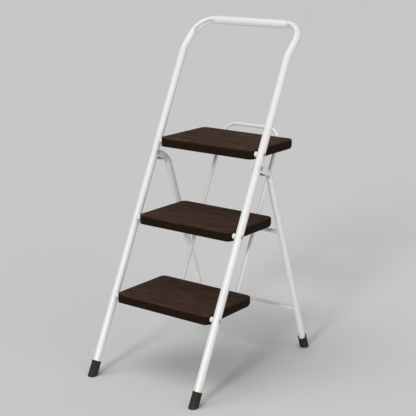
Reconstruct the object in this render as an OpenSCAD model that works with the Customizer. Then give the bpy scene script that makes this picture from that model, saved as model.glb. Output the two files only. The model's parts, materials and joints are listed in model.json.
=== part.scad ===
// Folding step ladder with three steps and a handle bow.
// The front frame stands still. The steps, the link frame behind them and the rear frame fold
// together: the steps' rear edges swing up into the plane of the front legs, and the rear frame
// closes behind it.
// +Z is up, the user faces +Y and the origin is on the floor, in the middle of the footprint.

/* [Front frame] */
// Lean of the front legs from vertical, degrees
front_lean = 25.7; // [25.2:0.1:26.2]
// Distance of each leg's centreline from the middle plane
leg_x = 207; // [204:1:220]
// Outer diameter of the front tube
front_d = 25.4; // [24.4:0.2:26.4]
// Wall of the frame tubes
tube_wall = 1.5; // [1.2:0.1:2]

/* [Handle] */
// Height at which the front tube starts to bend back
handle_bend_z = 1006; // [995:1:1030]
// Angle by which the handle bends back from the legs
handle_bend = 20; // [10:1:25]
// Centreline radius of that bend
handle_bend_r = 80; // [60:5:100]
// Straight length between that bend and the corner
handle_straight = 50; // [30:5:80]
// Centreline radius of the handle's corners
handle_corner_r = 66; // [50:1:80]
// Wall of the grip sleeve
grip_wall = 1.4; // [1.2:0.1:2.5]
// Bare bar between each end of the grip sleeve and the corner's bend
grip_gap = 3; // [0:1:20]

/* [Steps] */
// Height of the bottom step's top face
first_step_z = 261; // [255:1:270]
// Rise from step to step
step_rise = 240; // [238:1:244]
// Width of a tread
tread_w = 372; // [366:1:374]
// Thickness of a tread
tread_t = 31; // [30:0.5:32]
// Distance of the tread's front edge ahead of its pivot
tread_front = 22; // [20:1:26]
// Distance of the tread's rear edge behind its pivot
tread_rear = 223.5; // [221:0.5:223.5]
// Radius of the tread's corners, seen from above
tread_corner_r = 20; // [15:1:24]
// Height of the top face above the pivot
pivot_drop = 14.5; // [14:0.5:15.5]

/* [Rear frame] */
// Lean of the rear legs from vertical, degrees
rear_lean = 19.7; // [19.5:0.1:20]
// Outer diameter of the rear tube
rear_d = 22.4; // [22:0.1:23]
// Distance between front and rear legs on the floor, centre to centre
foot_spread = 631; // [628:1:634]
// Height of the rear frame's pivot on the front leg
rear_pivot_z = 687.5; // [684:0.5:690]
// Height of the low crossbar
low_bar_z = 153; // [130:1:180]
// Height of the middle crossbar, which the latch hooks hold
mid_bar_z = 446; // [444:1:448]
// Diameter of the crossbars
bar_d = 13; // [12:0.5:13]

/* [Link frame] */
// Distance of each link bar from the middle plane
link_x = 114; // [100:1:130]
// Diameter of the link bars
link_d = 12.5; // [12:0.1:12.6]
// Height of the pull loop's axis above the top step
loop_rise = 19; // [17:1:30]
// Centreline radius of the pull loop's corners
loop_corner_r = 50; // [40:1:60]

/* [Feet] */
// Diameter of the foot caps
foot_d = 31; // [30:0.5:33]
// Length of the foot caps along the leg
foot_len = 50; // [40:1:60]

/* [Hidden] */
$fn = 64;

paint = "whitesmoke";
wood_brown = "saddlebrown";
pan_brown = "#3a2a22";
foot_brown = "#33251d";
zinc = "silver";

// Fits
pin_play = 0.05;      // radial play of a fixed pin in its hole
run_play = 0.08;      // radial play of a turning pin in its hole
gap = 0.3;            // between pieces that only face each other
head_gap = 0.15;      // under the heads of the rear pivot rivets
far = 2000;           // longer than any cut

// Front frame
front_r = front_d / 2;
leg_start = 12;
leg_end = handle_bend_z / cos(front_lean);
foot_r = foot_d / 2;
rear_r = rear_d / 2;
footprint = foot_spread + foot_r / cos(rear_lean) - foot_r / cos(front_lean);

// Step pivots: their height, and their place along the leg
steps = [0, 1, 2];
function pivot_z(i) = first_step_z + i * step_rise - pivot_drop;
function pivot_y(i) = pivot_z(i) * tan(front_lean);
function pivot_s(i) = pivot_z(i) / cos(front_lean);
step_pin_r = 3;
step_head_r = 6;
seat_depth = 1.4;
bush_r = 9;

// Tread and pan, measured from the step pivot
tread_bottom = pivot_drop - tread_t;
tread_edge_r = 5;
rear_edge_r = 12;
skirt = 3.5;
tread_top_t = 4.5;
pocket_rear = tread_rear - rear_edge_r - skirt;
pan_t = 1.5;
pan_z = tread_bottom + 2;
pan_x = tread_w / 2 - skirt - 1;
pan_front = -tread_front + skirt + 1;
pan_rear = pocket_rear - 1;
pan_flange = 22;
pan_corner = 12;
boss_r = 4.5;
screw_r = 2;
screw_x = [-150, 0, 150];
screw_y = [20, 185];
rib_y = [50, 85, 120, 155];
rib_t = 2.5;
rib_x = pan_x - pan_t - 2;

// Link frame: the rear pivot of a step, measured from its front pivot
link_r = link_d / 2;
link_y = 222.7;
link_z = -27;
link_t = link_y * cos(front_lean) - link_z * sin(front_lean);
function link_s(i) = pivot_s(i) + link_y * sin(front_lean) + link_z * cos(front_lean);
link_pin_r = 2.5;
link_end = 14;
link_wall = 1.2;
loop_z = first_step_z + 2 * step_rise + loop_rise;
loop_s = (loop_z + link_t * sin(front_lean)) / cos(front_lean);
ear_gap = 0.5;
ear_t = 2;
ear_r = 6.5;
web_front = 178;

// Rear frame, measured along the rear leg from the floor
pivot_back = foot_spread - rear_pivot_z * (tan(rear_lean) + tan(front_lean));
rear_offset = pivot_back * cos(rear_lean);
rear_pivot_r = rear_pivot_z / cos(rear_lean) + pivot_back * sin(rear_lean);
fork_angle = 45;
fork_bend_r = 45;
fork_pin_r = 4;
fork_len = rear_offset / sin(fork_angle) - fork_bend_r * tan(fork_angle / 2);
bend_start = rear_pivot_r - rear_offset / tan(fork_angle) - fork_bend_r * tan(fork_angle / 2);
fork_side = 12.5;
fork_eye_r = 14;
fork_in = front_r + 0.6;
fork_t = 1.8;
fork_web_from = 17;
fork_wall = 4;
bar_r = bar_d / 2;
mid_bar_back = 3;

// Latch hook, around the middle crossbar
hook_y = foot_spread - mid_bar_z * tan(rear_lean) + mid_bar_back * cos(rear_lean);
hook_z = mid_bar_z + mid_bar_back * sin(rear_lean);
hook_t = hook_y * cos(front_lean) - hook_z * sin(front_lean);
hook_s = hook_y * sin(front_lean) + hook_z * cos(front_lean);
hook_in = bar_r + 0.6;
hook_wall = 3.5;
hook_w = 12;
hook_lip = 4;

// The whole ladder, from the front legs' feet to the middle of its footprint.
module placed() {
    translate([0, -footprint / 2, 0]) children();
}

// Axes along the front legs: +Z up the leg, +Y square to it, to the rear.
module along_front() {
    placed() rotate([-front_lean, 0, 0]) children();
}

// Axes along the rear legs: +Z up the leg, +Y square to it, to the rear.
module along_rear() {
    placed() translate([0, foot_spread, 0]) rotate([rear_lean, 0, 0]) children();
}

// Axes at the pivot of step i, level with the floor.
module at_step(i) {
    placed() translate([0, pivot_y(i), pivot_z(i)]) children();
}

// Axes at the rear pivot, with -Z along the fork towards the rear leg.
module at_rear_pivot() {
    along_rear() translate([0, -rear_offset, rear_pivot_r]) rotate([fork_angle, 0, 0]) children();
}

// The +X axis laid along a pin.
module across(x) {
    translate([x, 0, 0]) rotate([0, 90, 0]) children();
}

module both_sides() {
    children();
    mirror([1, 0, 0]) children();
}

module on_side(side) {
    if (side > 0) children();
    else mirror([1, 0, 0]) children();
}

// A closed outline in Y and Z, drawn out to a width along X.
module side_shape(width) {
    rotate([90, 0, 90]) linear_extrude(height = width, center = true) children();
}

module ring(r, wall) {
    difference() {
        circle(r = r);
        circle(r = r - wall);
    }
}

module tube(r, wall, length) {
    linear_extrude(height = length) ring(r, wall);
}

// A bend that starts upwards at the origin and turns towards -Y.
module bend_forward(r, wall, bend_r, angle) {
    translate([0, -bend_r, 0]) rotate([90, 0, 90])
        rotate_extrude(angle = angle, $fn = 96) translate([bend_r, 0]) ring(r, wall);
}

// A bend that starts upwards at the origin and turns towards -X.
module bend_inward(r, wall, bend_r, angle) {
    translate([-bend_r, 0, 0]) rotate([90, 0, 0])
        rotate_extrude(angle = angle, $fn = 96) translate([bend_r, 0]) ring(r, wall);
}

// A rivet along +Z: a shank from z = 0 to length, with a low domed head past each end.
module rivet(r, length, head_r, head_h) {
    rotate_extrude() polygon([
        [0, -head_h], [head_r * 0.55, -head_h], [head_r, -head_h * 0.35], [head_r, 0], [r, 0],
        [r, length], [head_r, length], [head_r, length + head_h * 0.35],
        [head_r * 0.55, length + head_h], [0, length + head_h]
    ]);
}

// Front frame

module front_leg(side) {
    pin_from = leg_x - front_r * 2;
    color(paint) along_front() on_side(side) difference() {
        translate([leg_x, 0, leg_end]) {
            translate([0, 0, leg_start - leg_end]) tube(front_r, tube_wall, leg_end - leg_start);
            rotate([0, 0, 180]) bend_forward(front_r, tube_wall, handle_bend_r, handle_bend);
        }
        for (i = steps) translate([0, 0, pivot_s(i)]) {
            across(pin_from) cylinder(r = step_pin_r + pin_play, h = front_r * 4);
            across(leg_x + front_r - seat_depth) cylinder(r = step_head_r + 0.1, h = front_r);
        }
        translate([0, 0, rear_pivot_z / cos(front_lean)]) across(pin_from)
            cylinder(r = fork_pin_r + pin_play, h = front_r * 4);
    }
}

// Axes at the upper end of each leg's bend, with +Z along the handle.
module at_handle_tops() {
    up = handle_bend_r * sin(handle_bend);
    back = handle_bend_r * (1 - cos(handle_bend));
    along_front() translate([0, back, leg_end + up]) rotate([-handle_bend, 0, 0])
        both_sides() translate([leg_x, 0, 0]) children();
}

// The bow stands on the bent ends of both legs, in line with their bores.
module handle_bow() {
    color(paint) at_handle_tops() {
        tube(front_r, tube_wall, handle_straight);
        translate([0, 0, handle_straight]) bend_inward(front_r, tube_wall, handle_corner_r, 90);
        translate([-leg_x, 0, handle_straight + handle_corner_r]) rotate([0, 90, 0])
            tube(front_r, tube_wall, leg_x - handle_corner_r);
    }
}

// The sleeve covers the straight bar, and stops short of both corners.
module handle_grip() {
    grip_in = front_r + 0.1;
    color(paint) at_handle_tops() translate([-leg_x, 0, handle_straight + handle_corner_r])
        rotate([0, 90, 0]) tube(grip_in + grip_wall, grip_wall, leg_x - handle_corner_r - grip_gap);
}

// A rubber cap on the end of a leg, before it is cut level with the floor.
module foot_blank(leg_r) {
    rotate_extrude() polygon([
        [0, -20], [foot_r, -20], [foot_r, foot_len - 2], [foot_r - 1.5, foot_len],
        [leg_r + 0.1, foot_len], [leg_r + 0.1, leg_start - 0.1], [0, leg_start - 0.1]
    ]);
}

module below_floor() {
    translate([-far / 2, -far, -far]) cube([far, far * 2, far]);
}

module front_foot(side) {
    color(foot_brown) difference() {
        along_front() translate([side * leg_x, 0, 0]) foot_blank(front_r);
        below_floor();
    }
}

module step_bushes() {
    bush_start = tread_w / 2 + gap;
    color(paint) along_front() both_sides() for (i = steps) difference() {
        translate([0, 0, pivot_s(i)]) across(bush_start) cylinder(r = bush_r, h = leg_x - bush_start);
        translate([leg_x, 0, pivot_s(i) - bush_r * 2])
            cylinder(r = front_r + 0.05, h = bush_r * 4);
        translate([0, 0, pivot_s(i)]) across(bush_start - 1)
            cylinder(r = step_pin_r + pin_play, h = front_r * 2);
    }
}

// The outer heads sit in flat seats in the legs, the inner heads inside the pans' flanges.
module step_pivot_rivets() {
    shank_from = pan_x - pan_t - gap;
    shank = leg_x + front_r - seat_depth - shank_from;
    color(zinc) along_front() both_sides() for (i = steps) translate([0, 0, pivot_s(i)])
        across(shank_from) rivet(step_pin_r, shank, step_head_r, 2.6);
}

module rear_pivot_rivets() {
    shank = 2 * (fork_in + fork_t + head_gap);
    color(zinc) along_front() both_sides() translate([0, 0, rear_pivot_z / cos(front_lean)])
        across(leg_x - shank / 2) rivet(fork_pin_r, shank, 7, 2.2);
}

// Steps

// A rectangle from y = front to y = rear, of a width, with rounded corners.
module plan(width, front, rear, corner_r) {
    translate([0, (front + rear) / 2]) {
        square([width - 2 * corner_r, rear - front], center = true);
        square([width, rear - front - 2 * corner_r], center = true);
    }
    for (x = [-1, 1], y = [front + corner_r, rear - corner_r])
        translate([x * (width / 2 - corner_r), y]) circle(r = corner_r);
}

// Side view of the tread: small radii, and a large one under its rear edge for the link bars.
module tread_profile() {
    difference() {
        translate([-tread_front, tread_bottom]) square([tread_front + tread_rear, tread_t]);
        edge_cut(-tread_front, pivot_drop, tread_edge_r, 1, -1);
        edge_cut(-tread_front, tread_bottom, tread_edge_r, 1, 1);
        edge_cut(tread_rear, pivot_drop, tread_edge_r, -1, -1);
        edge_cut(tread_rear, tread_bottom, rear_edge_r, -1, 1);
    }
}

// What a rounded edge of radius r takes off a square corner at (y, z).
module edge_cut(y, z, r, to_y, to_z) {
    difference() {
        translate([y - (to_y < 0 ? r : 1), z - (to_z < 0 ? r : 1)]) square(r + 1);
        translate([y + to_y * r, z + to_z * r]) circle(r = r);
    }
}

module tread(i) {
    pocket_top = pivot_drop - tread_top_t;
    pocket_x = tread_w / 2 - skirt;
    color(wood_brown) at_step(i) {
        difference() {
            intersection() {
                translate([0, 0, tread_bottom - 1]) linear_extrude(height = tread_t + 2)
                    plan(tread_w, -tread_front, tread_rear, tread_corner_r);
                side_shape(tread_w + 2) tread_profile();
            }
            translate([0, 0, tread_bottom - 1]) linear_extrude(height = pocket_top - tread_bottom + 1)
                plan(pocket_x * 2, -tread_front + skirt, pocket_rear, tread_corner_r - skirt);
            across(-tread_w) cylinder(r = step_pin_r + run_play, h = tread_w * 2);
        }
        for (y = rib_y) translate([-rib_x, y - rib_t / 2, 0])
            cube([rib_x * 2, rib_t, pocket_top + 0.5]);
        for (x = screw_x, y = screw_y) difference() {
            translate([x, y, pan_z + pan_t]) cylinder(r = boss_r, h = pocket_top + 0.5 - pan_z - pan_t);
            translate([x, y, pan_z]) cylinder(r = screw_r - 0.2, h = 14);
        }
    }
}

// A sheet tray under the tread: its side flanges carry the pivots.
module step_pan(i) {
    side_front = -step_head_r;
    side_rear = pan_rear - pan_corner;
    inner_x = pan_x - pan_corner;
    color(pan_brown) at_step(i) difference() {
        union() {
            translate([-pan_x, side_front, pan_z]) cube([pan_x * 2, side_rear - side_front, pan_flange]);
            translate([-inner_x, pan_front, pan_z]) cube([inner_x * 2, pan_rear - pan_front, pan_flange]);
        }
        translate([-pan_x + pan_t, side_front - 1, pan_z + pan_t])
            cube([2 * (pan_x - pan_t), side_rear - side_front + 2, pan_flange]);
        translate([-inner_x - 1, pan_front + pan_t, pan_z + pan_t])
            cube([2 * inner_x + 2, pan_rear - pan_front - 2 * pan_t, pan_flange]);
        across(-tread_w) cylinder(r = step_pin_r + run_play, h = tread_w * 2);
        for (x = screw_x, y = screw_y) translate([x, y, pan_z - 1]) cylinder(r = screw_r + 0.2, h = pan_t + 2);
    }
}

// A clevis at each link bar: a plate under the pan with an ear on each side of the bar.
module step_brackets(i) {
    ear_x = link_r + ear_gap;
    color(pan_brown) at_step(i) both_sides() translate([link_x, 0, 0]) {
        translate([-ear_x - ear_t, web_front, tread_bottom])
            cube([2 * (ear_x + ear_t), pan_rear - web_front, pan_z - tread_bottom]);
        for (side = [-1, 1]) difference() {
            translate([side * (ear_x + ear_t / 2), 0, 0]) side_shape(ear_t) {
                polygon([
                    [web_front, pan_z], [pan_rear, pan_z], [pan_rear, tread_bottom - 0.8],
                    [link_y + 1, link_z + ear_r], [link_y - 2, link_z - ear_r + 0.5],
                    [web_front, tread_bottom - 2]
                ]);
                translate([link_y, link_z]) circle(r = ear_r);
            }
            translate([0, link_y, link_z]) across(-20) cylinder(r = link_pin_r + run_play, h = 40);
        }
    }
}

module step_screws(i) {
    color(zinc) at_step(i) for (x = screw_x, y = screw_y) translate([x, y, pan_z]) {
        cylinder(r = screw_r - 0.2, h = 13);
        translate([0, 0, -1.7]) cylinder(r = 4, h = 1.7);
    }
}

// Link frame

module link_bar(side) {
    from = link_s(0) - link_end;
    color(paint) along_front() difference() {
        translate([side * link_x, link_t, from]) tube(link_r, link_wall, loop_s - loop_corner_r - from);
        for (i = steps) translate([0, link_t, link_s(i)]) across(side * link_x - link_r * 2)
            cylinder(r = link_pin_r + pin_play, h = link_r * 4);
    }
}

module pull_loop() {
    color(paint) along_front() both_sides() translate([link_x, link_t, loop_s - loop_corner_r]) {
        bend_inward(link_r, link_wall, loop_corner_r, 90);
        translate([-link_x, 0, loop_corner_r]) rotate([0, 90, 0])
            tube(link_r, link_wall, link_x - loop_corner_r);
    }
}

module link_bar_plugs() {
    plug_h = 3;
    color(foot_brown) along_front() both_sides()
        translate([link_x, link_t, link_s(0) - link_end - plug_h]) {
            cylinder(r = link_r, h = plug_h);
            cylinder(r = link_r - link_wall - 0.1, h = plug_h + 6);
        }
}

module link_rivets() {
    shank = 2 * (link_r + ear_gap + ear_t) + 2 * gap;
    color(zinc) along_front() both_sides() for (i = steps) translate([0, link_t, link_s(i)])
        across(link_x - shank / 2) rivet(link_pin_r, shank, 4.5, 1.6);
}

// Side view of a hook in Y and Z, open downwards, with the crossbar at the origin.
module hook_profile() {
    hook_out = hook_in + hook_wall;
    front_in = hook_in + 2;
    to_bar = hook_t - link_t - link_r + 0.5;
    difference() {
        union() {
            circle(r = hook_out);
            translate([0, -hook_lip]) square([hook_out, hook_lip]);
            translate([-to_bar, -hook_lip]) square([to_bar, hook_lip + hook_out]);
        }
        circle(r = hook_in);
        translate([-front_in, -hook_out - 1]) square([front_in + hook_in, hook_out + 1]);
    }
}

module latch_hooks() {
    color(paint) along_front() both_sides() difference() {
        translate([link_x, hook_t, hook_s]) side_shape(hook_w) hook_profile();
        translate([link_x, link_t, hook_s - 40]) cylinder(r = link_r + 0.05, h = 80);
    }
}

// Rear frame

module rear_leg(side) {
    color(paint) along_rear() translate([side * leg_x, 0, 0]) {
        translate([0, 0, leg_start]) tube(rear_r, tube_wall, bend_start - leg_start);
        translate([0, 0, bend_start]) bend_forward(rear_r, tube_wall, fork_bend_r, fork_angle);
    }
}

module rear_fork(side) {
    color(paint) at_rear_pivot() translate([side * leg_x, 0, 0]) difference() {
        side_shape(2 * (fork_in + fork_t)) {
            circle(r = fork_eye_r);
            translate([-fork_side, -fork_len]) square([2 * fork_side, fork_len]);
        }
        side_shape(2 * fork_in) {
            translate([-far, -fork_len + fork_wall]) square([far + fork_side - fork_t, far]);
            translate([-far / 2, -fork_web_from]) square(far);
        }
        across(-20) cylinder(r = fork_pin_r + run_play, h = 40);
    }
}

// A crossbar between the rear legs, shaped at its ends to sit on them.
module crossbar(z, back) {
    color(paint) along_rear() difference() {
        translate([0, back, z / cos(rear_lean)]) across(-leg_x) cylinder(r = bar_r, h = 2 * leg_x);
        for (side = [-1, 1]) translate([side * leg_x, 0, z / cos(rear_lean) - 40])
            cylinder(r = rear_r, h = 80);
    }
}

module rear_foot(side) {
    color(foot_brown) difference() {
        along_rear() translate([side * leg_x, 0, 0]) foot_blank(rear_r);
        below_floor();
    }
}

front_leg(-1);  // front_leg_left
front_leg(1);  // front_leg_right
handle_bow();
handle_grip();
front_foot(-1);  // front_foot_left
front_foot(1);  // front_foot_right
step_bushes();
step_pivot_rivets();
rear_pivot_rivets();
tread(2);  // tread_top
step_pan(2);  // step_pan_top
step_brackets(2);  // step_brackets_top
step_screws(2);  // step_screws_top
tread(1);  // tread_middle
step_pan(1);  // step_pan_middle
step_brackets(1);  // step_brackets_middle
step_screws(1);  // step_screws_middle
tread(0);  // tread_bottom
step_pan(0);  // step_pan_bottom
step_brackets(0);  // step_brackets_bottom
step_screws(0);  // step_screws_bottom
link_bar(-1);  // link_bar_left
link_bar(1);  // link_bar_right
pull_loop();
link_bar_plugs();
link_rivets();
latch_hooks();
rear_leg(-1);  // rear_leg_left
rear_leg(1);  // rear_leg_right
rear_fork(-1);  // rear_fork_left
rear_fork(1);  // rear_fork_right
crossbar(low_bar_z, 0);  // crossbar_low
crossbar(mid_bar_z, mid_bar_back);  // crossbar_middle
rear_foot(-1);  // rear_foot_left
rear_foot(1);  // rear_foot_right
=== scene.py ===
"""Looks of the folding step ladder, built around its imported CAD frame. Lengths are in metres."""

import json
import math

import bmesh
import bpy
from mathutils import Matrix, Vector, noise


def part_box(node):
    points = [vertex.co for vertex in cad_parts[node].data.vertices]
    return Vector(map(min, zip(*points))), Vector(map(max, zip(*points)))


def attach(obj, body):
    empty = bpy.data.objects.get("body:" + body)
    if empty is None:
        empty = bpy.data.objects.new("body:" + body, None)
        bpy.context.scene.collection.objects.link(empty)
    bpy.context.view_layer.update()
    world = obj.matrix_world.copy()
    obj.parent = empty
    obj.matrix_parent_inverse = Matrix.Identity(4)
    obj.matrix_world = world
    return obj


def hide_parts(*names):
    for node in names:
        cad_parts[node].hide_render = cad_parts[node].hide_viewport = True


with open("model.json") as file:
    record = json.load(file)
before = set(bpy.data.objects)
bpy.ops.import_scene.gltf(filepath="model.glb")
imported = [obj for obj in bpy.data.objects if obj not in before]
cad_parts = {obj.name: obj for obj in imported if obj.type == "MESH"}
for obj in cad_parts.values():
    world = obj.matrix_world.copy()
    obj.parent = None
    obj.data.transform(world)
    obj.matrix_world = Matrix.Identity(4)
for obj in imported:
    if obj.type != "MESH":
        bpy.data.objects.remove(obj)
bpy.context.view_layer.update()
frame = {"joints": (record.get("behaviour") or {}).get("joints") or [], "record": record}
MM = 0.001
X, Y, Z = Vector((1, 0, 0)), Vector((0, 1, 0)), Vector((0, 0, 1))


# ---- places, from the frame

JOINTS = {joint["name"]: joint for joint in frame["joints"]}


def pivot_of(joint):
    return Vector(JOINTS[joint]["pos_m"])


def axes(origin, tilt):
    """Local axes X, Y and Z with Z tilted from upright towards +Y."""
    turn = Matrix.Rotation(-tilt, 4, "X")
    return Matrix.Translation(origin) @ turn


def half_width(node):
    low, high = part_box(node)
    return (high.x - low.x) / 2


def middle_x(node):
    low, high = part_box(node)
    return (high.x + low.x) / 2


STEP_JOINT = {"bottom": "bottom_step_fold", "middle": "middle_step_fold", "top": "step_fold"}
STEPS = {name: pivot_of(joint) for name, joint in STEP_JOINT.items()}
RISE = STEPS["top"] - STEPS["bottom"]
FRONT_LEAN = math.atan2(RISE.y, RISE.z)
REAR_LEAN = math.radians(-JOINTS["rear_frame_fold"]["range_deg"][0]) - FRONT_LEAN
FORK_ANGLE = math.radians(45)
HANDLE_BEND = math.radians(20)

LEG_X = middle_x("front_leg_right")
LEG_R = half_width("front_leg_right")
REAR_R = half_width("rear_leg_right")
FOOT_R = half_width("front_foot_right")
LINK_X = middle_x("link_bar_right")
LINK_R = half_width("link_bar_right")
TREAD_X = half_width("tread_top")
TUBE_WALL = 1.5 * MM
LINK_WALL = 1.2 * MM
LEG_START = 12 * MM

# Axes along the front legs, the rear legs and the forks: X to the right, Y to the rear, Z up the leg.
bottom = STEPS["bottom"]
FRONT = axes((0, bottom.y - bottom.z * math.tan(FRONT_LEAN), 0), FRONT_LEAN)
bar_low, bar_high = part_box("crossbar_low")
bar_middle = (bar_low + bar_high) / 2
REAR = axes((0, bar_middle.y + bar_middle.z * math.tan(REAR_LEAN), 0), -REAR_LEAN)
REAR_PIVOT = pivot_of("rear_frame_fold")
FORK = axes(REAR_PIVOT, -REAR_LEAN - FORK_ANGLE)
LINK_PIVOT = pivot_of("link_swing") - STEPS["top"]


def in_front(point):
    """A place in the front legs' axes."""
    return FRONT.inverted() @ point


def in_rear(point):
    return REAR.inverted() @ point


# ---- shapes: lists of points and faces


def skin(rings, along=False, around=True, caps=False):
    """Faces between neighbouring rings of points, closed around each ring and along them if asked."""
    size = len(rings[0])
    faces = []
    for i in range(len(rings) if along else len(rings) - 1):
        a, b = i * size, (i + 1) % len(rings) * size
        for j in range(size if around else size - 1):
            k = (j + 1) % size
            faces.append((a + j, a + k, b + k, b + j))
    if caps:
        faces.append(tuple(range(size)))
        faces.append(tuple(range((len(rings) - 1) * size, len(rings) * size)))
    return [p for ring in rings for p in ring], faces


def moved(shape, matrix):
    points, faces = shape
    return [matrix @ p for p in points], faces


def flipped(points):
    """The same points on the ladder's other side."""
    return [Vector((-p.x, p.y, p.z)) for p in points]


def mirrored(shape):
    points, faces = shape
    return flipped(points), faces


def both_sides(shapes):
    return shapes + [mirrored(shape) for shape in shapes]


def clamped(value):
    """The value, held between 0 and 1."""
    return min(max(value, 0), 1)


def ease(value):
    """A smooth rise from 0 to 1."""
    value = clamped(value)
    return value * value * (3 - 2 * value)


def bend_at(before, corner, after, radius):
    """The centre, the axis, the direction to the corner and the angle of a bend that rounds a corner."""
    back, on = (before - corner).normalized(), (after - corner).normalized()
    angle = math.pi - back.angle(on)
    centre = corner + (back + on).normalized() * radius / math.cos(angle / 2)
    return centre, on.cross(back).normalized(), (corner - centre).normalized(), angle


def fillet(corners, radii, turn=5):
    """A line through the corners, each rounded to its radius with a point every few degrees."""
    line = []
    for i, corner in enumerate(corners):
        if radii[i] == 0:
            line.append(corner.copy())
            continue
        centre, axis, outward, angle = bend_at(corners[i - 1], corner, corners[i + 1], radii[i])
        steps = max(2, math.ceil(math.degrees(angle) / turn))
        for k in range(steps + 1):
            line.append(centre + Matrix.Rotation(angle * (k / steps - 0.5), 3, axis) @ outward * radii[i])
    return line


def press_bend(shape, bend, radius, tube_r, depth):
    """Dents the inner side of a tube's bend, as a bending press leaves it: a groove between two lips.
    Angles around the tube are in degrees from the bend's inner line."""
    centre, axis, outward, angle = bend
    run_in = 1.4 * tube_r
    groove_edge, groove_slope = 66, 50
    lip_at, lip_half, lip_rise = 88, 38, 0.13 * tube_r
    points, faces = shape
    pressed = []
    for p in points:
        aside = (p - centre).dot(axis)
        arm = p - centre - axis * aside
        from_middle = arm.angle(outward, math.pi)
        inward = radius - arm.length
        from_axis = math.hypot(inward, aside)
        if from_middle < angle / 2 and from_axis < 1.2 * tube_r:
            run = ease((angle / 2 - from_middle) * radius / run_in)
            around = math.degrees(abs(math.atan2(aside, inward)))
            groove = depth * ease((groove_edge - around) / groove_slope)
            lips = lip_rise * ease(1 - abs(around - lip_at) / lip_half)
            share = 1 - run * (groove - lips) / max(from_axis, 1e-6)
            p = centre + arm.normalized() * (radius - inward * share) + axis * aside * share
        pressed.append(p)
    return pressed, faces


def spaced(start, end, pitch):
    """Points from start up to, but not at, end."""
    count = max(1, round((end - start).length / pitch))
    return [start.lerp(end, k / count) for k in range(count)]


def frames_along(path, side):
    """Two directions square to the path at each point, carried along it without twist."""
    found = []
    normal = side.copy()
    for i in range(len(path)):
        tangent = (path[min(i + 1, len(path) - 1)] - path[max(i - 1, 0)]).normalized()
        normal = (normal - tangent * normal.dot(tangent)).normalized()
        found.append((normal, tangent.cross(normal)))
    return found


def circle_at(centre, u, v, radius, sides):
    turn = 2 * math.pi / sides
    return [centre + (u * math.cos(k * turn) + v * math.sin(k * turn)) * radius for k in range(sides)]


def tube(path, outer, inner, sides=48, side=X):
    """A hollow tube. outer is one radius, or a radius for each point of the path."""
    radii = outer if isinstance(outer, list) else [outer] * len(path)
    turns = frames_along(path, side)
    outside = [circle_at(p, *t, r, sides) for p, t, r in zip(path, turns, radii)]
    inside = [circle_at(p, *t, inner, sides) for p, t in zip(path, turns)]
    return skin(outside + inside[::-1], along=True)


def level_circle(radius, z, sides):
    return circle_at(Z * z, X, Y, radius, sides)


def turned(profile, sides):
    """A solid of revolution about Z, from (radius, height) points that start and end on the axis."""
    return skin([level_circle(max(r, 0), z, sides) for r, z in profile])


def arc(centre, radius, start, end, steps=6):
    """(across, up) points of an arc, angles in degrees."""
    at = [math.radians(start + (end - start) * k / steps) for k in range(steps + 1)]
    return [(centre[0] + radius * math.cos(a), centre[1] + radius * math.sin(a)) for a in at]


def slab(outline, thickness):
    """A closed outline of (y, z) points, drawn out along X to a thickness about x = 0."""
    rings = [[Vector((x, y, z)) for y, z in outline] for x in (-thickness / 2, thickness / 2)]
    return skin(rings, caps=True)


def on_x(x, y=0, z=0):
    """The turned shapes' Z axis laid along +X from a point."""
    return Matrix.Translation((x, y, z)) @ Matrix.Rotation(math.pi / 2, 4, "Y")


# ---- pieces

BODY_OF = {node: body for body, nodes in frame["record"]["behaviour"]["bodies"].items() for node in nodes}
WORLD = Matrix.Identity(4)


def piece(name, shapes, at, material, nodes, bevel=0, sharp=40):
    """One object of several shapes, on the body of the CAD nodes that it replaces."""
    points, faces = [], []
    for shape_points, shape_faces in shapes:
        faces += [tuple(i + len(points) for i in face) for face in shape_faces]
        points += shape_points
    mesh = bpy.data.meshes.new(name)
    mesh.from_pydata([at @ p for p in points], [], faces)
    solid = bmesh.new()
    solid.from_mesh(mesh)
    bmesh.ops.remove_doubles(solid, verts=solid.verts, dist=1e-6)
    bmesh.ops.recalc_face_normals(solid, faces=solid.faces)
    if bevel:
        edges = [e for e in solid.edges if e.calc_face_angle(0) > math.radians(sharp)]
        bmesh.ops.bevel(
            solid, geom=edges, offset=bevel, segments=3, profile=0.5, affect="EDGES", clamp_overlap=True
        )
    solid.to_mesh(mesh)
    solid.free()
    mesh.shade_smooth()
    mesh.set_sharp_from_angle(angle=math.radians(sharp))
    made = bpy.data.objects.new(name, mesh)
    bpy.context.scene.collection.objects.link(made)
    made.data.materials.append(material)
    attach(made, BODY_OF[nodes[0]])
    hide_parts(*nodes)
    return made


def settle(made, sharp=40):
    """Turns a piece's modifiers into plain mesh, shaded smooth with its sharp edges kept."""
    bpy.context.view_layer.update()
    result = bpy.data.meshes.new_from_object(made.evaluated_get(bpy.context.evaluated_depsgraph_get()))
    made.modifiers.clear()
    made.data = result
    result.shade_smooth()
    result.set_sharp_from_angle(angle=math.radians(sharp))


def sheet_metal(made, thickness, offset, edge):
    """Gives a formed sheet its thickness and broken edges."""
    solid = made.modifiers.new("thickness", "SOLIDIFY")
    solid.thickness = thickness
    solid.offset = offset
    solid.use_even_offset = True
    bevel = made.modifiers.new("edges", "BEVEL")
    bevel.width = edge
    bevel.segments = 2
    bevel.limit_method = "ANGLE"
    bevel.angle_limit = math.radians(50)
    settle(made)


# ---- materials


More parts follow.
